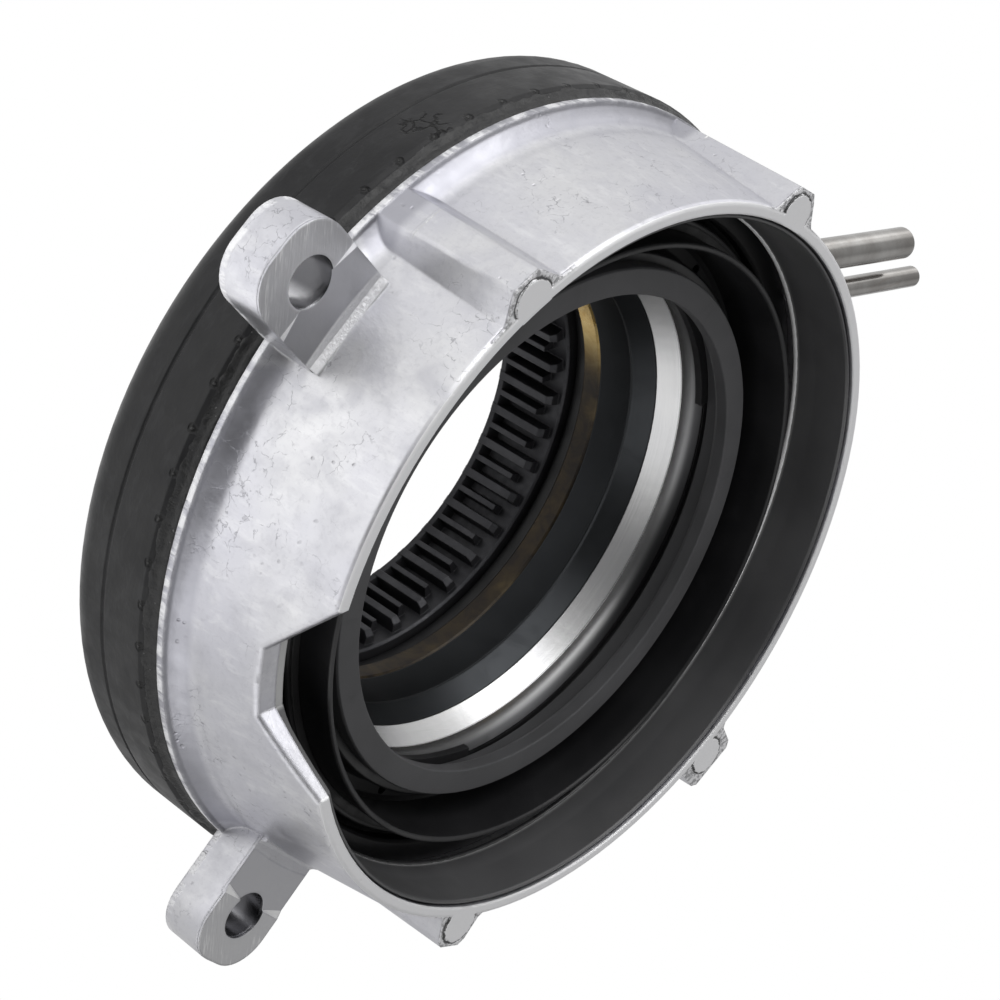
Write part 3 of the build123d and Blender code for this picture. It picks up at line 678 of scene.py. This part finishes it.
def ring_mesh(name, section, steps):
    """A closed ring. section(turn) gives its (radius, height) points in millimetres."""
    rows = [section(2 * math.pi * i / steps) for i in range(steps)]
    count = len(rows[0])
    verts = []
    for i, row in enumerate(rows):
        turn = 2 * math.pi * i / steps
        for radius, height in row:
            verts.append((radius / 1000 * math.cos(turn), radius / 1000 * math.sin(turn), height / 1000))
    faces = []
    for i in range(steps):
        j = (i + 1) % steps
        for k in range(count):
            n = (k + 1) % count
            faces.append((i * count + k, j * count + k, j * count + n, i * count + n))
    piece = new_piece(name, verts, faces)
    for face in piece.data.polygons:
        face.use_smooth = True
    return piece


def uneven(turn, size_mm, seed):
    """Smooth noise from -1 to 1 round the ring, with lumps of the given size."""
    around = 58.0 / size_mm
    return noise.noise(Vector((math.cos(turn) * around, math.sin(turn) * around, seed)))


def bead_section(turn):
    """Sealant squeezed out past the flange and smeared over the shoulder of the rubber ring."""
    lap = 0.30 + 0.42 * uneven(turn, 3.0, 1.5) + 0.22 * uneven(turn, 1.1, 4.5)
    lump = 0.16 * uneven(turn, 2.2, 8.5) + 0.07 * uneven(turn, 0.8, 2.5)
    lump_2 = 0.16 * uneven(turn, 2.0, 12.5) + 0.07 * uneven(turn, 0.7, 6.5)
    return (
        (57.00, 28.15),
        (57.75 + 0.5 * lump, 28.12),
        (57.95 + lump, 27.75),
        (58.00 + lump_2, 27.30),
        (58.15 + lump, 26.90),
        (58.45 + 0.4 * lump_2, 26.62),
        (58.66, 26.42 - 0.5 * lap),
        (58.80, 26.20 - lap),
        (58.55, 26.05 - lap),
        (57.20, 26.20),
    )


def lip_section(turn):
    """Rolled lower lip of the liner, a little uneven as moulded, open at the notch."""
    height = LIP_Z
    size = 0.45 + 0.03 * uneven(turn, 9.0, 20.5)
    if abs(math.remainder(turn, 2 * math.pi)) < math.asin(NOTCH_HALF_W / LIP_R):
        height -= 1.0
        size = 0.02
    round_points = [math.radians(k) for k in range(0, 360, 30)]
    return tuple((LIP_R + size * math.cos(k), height + size * math.sin(k)) for k in round_points)


lip = ring_mesh("liner_lip", lip_section, 720)
lip.data.materials.append(lip_look)
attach(lip, "actuator_body")


def ear_face(name, hole_at, degrees):
    """Machined top of one ear: web, raised pad, and the slanted step between them.

    Points are given in the ear's own frame: distance from the axis, sideways, and height, in millimetres.
    """
    half_w, tip, tip_r, hole_r = 7.08, 72.37, 5.6, 3.42
    inner, slant_from, underside = 53.5, 62.1, 34.1
    low = math.degrees(math.acos((EAR_STEP_R - 0.2 - hole_at) / hole_r))
    high = math.degrees(math.acos((EAR_STEP_R - hole_at) / hole_r))

    def arc(centre, radius, start, end, steps):
        turns = [math.radians(start + (end - start) * i / steps) for i in range(steps + 1)]
        return [(centre[0] + radius * math.cos(t), centre[1] + radius * math.sin(t)) for t in turns]

    def at(points, height):
        return [(u, v, height) for u, v in points]

    hole = (hole_at, 0.0)
    near_hole = arc(hole, hole_r, 360 - low, low, 20)
    far_hole = arc(hole, hole_r, high, -high, 44)
    corners = [(tip - tip_r, -(half_w - tip_r)), (tip - tip_r, half_w - tip_r)]
    rim = arc(corners[0], tip_r, -90, 0, 12) + arc(corners[1], tip_r, 0, 90, 12)
    web_loop = [(inner, -half_w), (slant_from, -half_w), *near_hole, (slant_from, half_w), (inner, half_w)]
    web = at(web_loop, EAR_WEB_TOP)
    pad = at([(EAR_STEP_R, -half_w), *rim, (EAR_STEP_R, half_w), *far_hole], EAR_PAD_TOP)
    slants = (
        [web[1], pad[0], pad[-1], web[2]],
        [web[-3], (*far_hole[0], EAR_PAD_TOP), (EAR_STEP_R, half_w, EAR_PAD_TOP), web[-2]],
    )

    c, sn = math.cos(math.radians(degrees)), math.sin(math.radians(degrees))
    index, verts, faces, edges = {}, [], [], {}

    def number(u, v, height):
        key = (round(u, 4), round(v, 4), round(height, 4))
        if key not in index:
            index[key] = len(verts)
            verts.append(((u * c - v * sn) / 1000, (u * sn + v * c) / 1000, height / 1000))
        return index[key]

    for loop in (web, pad, *slants):
        top = [number(*q) for q in loop]
        base = [number(q[0], q[1], underside) for q in loop]
        faces.append(top)
        faces.append(base[::-1])
        for i in range(len(top)):
            j = (i + 1) % len(top)
            edges[(top[i], top[j])] = (base[i], base[j])
    for (i, j), (k, n) in edges.items():
        if (j, i) not in edges:
            faces.append((j, i, k, n))
    piece = new_piece(name, verts, faces)
    piece.data.materials.append(alu)
    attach(piece, "actuator_body")


for ear_number, (ear_hole_at, ear_turn) in enumerate(EAR_HOLES):
    ear_face("ear_face_%d" % (ear_number + 1), ear_hole_at, ear_turn)

bead = ring_mesh("sealant_bead", bead_section, 1200)
bead.data.materials.append(sealant)
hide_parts("joint_bead")
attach(bead, "actuator_body")


def part_of(name, node, keep):
    """A closed copy of the faces of a CAD node whose middle passes keep(radius, height), in millimetres."""
    bm = bmesh.new()
    bm.from_mesh(nodes[node].data)
    bmesh.ops.remove_doubles(bm, verts=bm.verts, dist=1e-6)
    middles = [(face, face.calc_center_median() * 1000) for face in bm.faces]
    bmesh.ops.delete(bm, geom=[f for f, q in middles if not keep(math.hypot(q.x, q.y), q.z)], context="FACES")
    cut = [edge for edge in bm.edges if edge.is_boundary]
    if cut:
        bmesh.ops.bridge_loops(bm, edges=cut)
    bmesh.ops.recalc_face_normals(bm, faces=bm.faces)
    mesh = bpy.data.meshes.new(name)
    bm.to_mesh(mesh)
    bm.free()
    for face in mesh.polygons:
        face.use_smooth = True
    mesh.set_sharp_from_angle(angle=math.radians(30))
    piece = link(name, mesh)
    piece.data.materials.append(looks[node])
    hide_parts(node)
    return piece


# the spring, which shortens between housing and carrier as the carrier slides, here as one closed copy with its
# placement baked in
coil = part_of("spring_coil", "return_spring", lambda radius, height: True)
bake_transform(coil)

# the diaphragm parts in its roll, its inner wall going with the carrier
WALL_OUT_TO, WALL_FROM_Z = 45.9, 30.8
roll = part_of("diaphragm_roll", "diaphragm", lambda radius, height: radius > WALL_OUT_TO or height < WALL_FROM_Z)
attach(roll, "actuator_body")
inner_wall = part_of(
    "diaphragm_inner", "diaphragm", lambda radius, height: radius < WALL_OUT_TO and height > WALL_FROM_Z,
)
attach(inner_wall, "carrier")


class Shade:
    """Short names for the nodes of the floor and the world."""

    def __init__(self, tree):
        self.t = tree
        tree.nodes.clear()

    def node(self, kind, **sockets):
        n = self.t.nodes.new(kind)
        for k, v in sockets.items():
            if isinstance(v, bpy.types.NodeSocket):
                self.t.links.new(v, n.inputs[k])
            else:
                n.inputs[k].default_value = v
        return n

    def math(self, op, a, b):
        n = self.t.nodes.new("ShaderNodeMath")
        n.operation = op
        for i, v in enumerate((a, b)):
            if isinstance(v, bpy.types.NodeSocket):
                self.t.links.new(v, n.inputs[i])
            else:
                n.inputs[i].default_value = v
        return n.outputs[0]

    def dot(self, v, way):
        n = self.t.nodes.new("ShaderNodeVectorMath")
        n.operation = "DOT_PRODUCT"
        self.t.links.new(v, n.inputs[0])
        n.inputs[1].default_value = way
        return n.outputs["Value"]

    def ramp(self, v, low, high, a, b):
        n = self.t.nodes.new("ShaderNodeMapRange")
        n.interpolation_type = "SMOOTHSTEP"
        self.t.links.new(v, n.inputs[0])
        for i, x in enumerate((low, high, a, b)):
            n.inputs[i + 1].default_value = x
        return n.outputs[0]


def floor():
    """White to the eye. Metal sees it brighter on the key light's side, as in a studio."""
    bpy.ops.mesh.primitive_plane_add(size=8.0, location=(0, 0, 0))
    o = bpy.context.object
    o.name = "floor"
    m = bpy.data.materials.new("floor")
    m.use_nodes = True
    s = Shade(m.node_tree)
    out = s.node("ShaderNodeOutputMaterial")
    path = s.node("ShaderNodeLightPath")
    geo = s.node("ShaderNodeTexCoord")
    near = s.node("ShaderNodeVectorMath")
    near.operation = "NORMALIZE"
    s.t.links.new(geo.outputs["Object"], near.inputs[0])
    side = s.math("MULTIPLY", s.dot(near.outputs[0], (0.25, -0.97, 0.0)), 0.16)
    patch = s.ramp(s.dot(near.outputs[0], (0.93, -0.36, 0.0)), 0.66, 1.0, 0.0, 0.50)
    far = s.node("ShaderNodeVectorMath")
    far.operation = "LENGTH"
    s.t.links.new(geo.outputs["Object"], far.inputs[0])
    behind_tubes = s.math(
        "MULTIPLY", s.ramp(s.dot(near.outputs[0], (-0.83, -0.56, 0.0)), 0.93, 0.99, 0.0, 0.9),
        s.ramp(far.outputs["Value"], 0.12, 0.35, 0.0, 1.0),
    )
    glow = s.math("ADD", s.math("ADD", s.math("ADD", side, patch), behind_tubes), 0.77)
    seen = s.node("ShaderNodeEmission")
    mirrored = s.node("ShaderNodeEmission", Strength=glow)
    lit = s.node("ShaderNodeBsdfDiffuse", Color=(0.75, 0.75, 0.75, 1))
    shiny = s.math("MAXIMUM", path.outputs["Is Glossy Ray"], path.outputs["Is Transmission Ray"])
    first = s.node("ShaderNodeMixShader")
    s.t.links.new(shiny, first.inputs[0])
    s.t.links.new(lit.outputs[0], first.inputs[1])
    s.t.links.new(mirrored.outputs[0], first.inputs[2])
    second = s.node("ShaderNodeMixShader")
    s.t.links.new(path.outputs["Is Camera Ray"], second.inputs[0])
    s.t.links.new(first.outputs[0], second.inputs[1])
    s.t.links.new(seen.outputs[0], second.inputs[2])
    s.t.links.new(second.outputs[0], out.inputs[0])
    o.data.materials.append(m)


floor()


def facing(x, y, z, at):
    """Placement of a lamp or camera that stands at a point with the given axes."""
    return Matrix(((x.x, y.x, z.x, at.x), (x.y, y.y, z.y, at.y), (x.z, y.z, z.z, at.z), (0, 0, 0, 1)))


def lamp(name, way, size, watts):
    """A soft rectangular light that shines at the middle of the part from the given way."""
    z = Vector(way).normalized()
    at = PART_MIDDLE + z * LAMP_DISTANCE
    d = bpy.data.lights.new(name, "AREA")
    d.shape = "RECTANGLE"
    d.size, d.size_y = size
    d.energy = watts
    o = bpy.data.objects.new(name, d)
    bpy.context.scene.collection.objects.link(o)
    x = Vector((0, 0, 1)).cross(z).normalized()
    y = z.cross(x)
    o.matrix_world = facing(x, y, z, at)


lamp("key", (0.02, -0.96, 0.30), (1.2, 0.8), 6.0)
lamp("back", (-0.35, -0.60, 0.72), (0.5, 0.5), 1.0)
lamp("front", (0.85, 0.55, 0.25), (0.9, 0.7), 2.0)


def studio():
    """Soft white surround, brightest behind the key light and dark round the camera."""
    world = bpy.data.worlds.new("studio")
    bpy.context.scene.world = world
    world.use_nodes = True
    s = Shade(world.node_tree)
    out = s.node("ShaderNodeOutputWorld")
    way = s.node("ShaderNodeTexCoord").outputs["Generated"]
    level = s.math("ADD", s.math("MULTIPLY", s.dot(way, (0.2, -0.95, -0.1)), 0.45), 0.60)
    for patch_way, begins, full, strength in SKY_PATCHES:
        level = s.math("ADD", level, s.ramp(s.dot(way, patch_way), begins, full, 0.0, strength))
    level = s.math("MULTIPLY", level, s.ramp(s.dot(way, tuple(CAM_BACK)), 0.62, 0.92, 1.0, 0.12))
    seen = s.node("ShaderNodeLightPath").outputs["Is Camera Ray"]
    pick = s.node("ShaderNodeMix")
    pick.data_type = "FLOAT"
    s.t.links.new(seen, pick.inputs[0])
    s.t.links.new(level, pick.inputs[2])
    pick.inputs[3].default_value = 1.0
    bg = s.node("ShaderNodeBackground", Strength=pick.outputs[0])
    s.t.links.new(bg.outputs[0], out.inputs[0])


studio()

cam_data = bpy.data.cameras.new("camera")
cam_data.sensor_width = 36.0
cam_data.lens = 86.4
cam_data.clip_start = 0.01
cam_data.clip_end = 20.0
cam = bpy.data.objects.new("camera", cam_data)
bpy.context.scene.collection.objects.link(cam)
cam.matrix_world = facing(CAM_RIGHT, CAM_UP, CAM_BACK, CAM_AT)
bpy.context.scene.camera = cam
bpy.context.scene.view_settings.view_transform = "Standard"
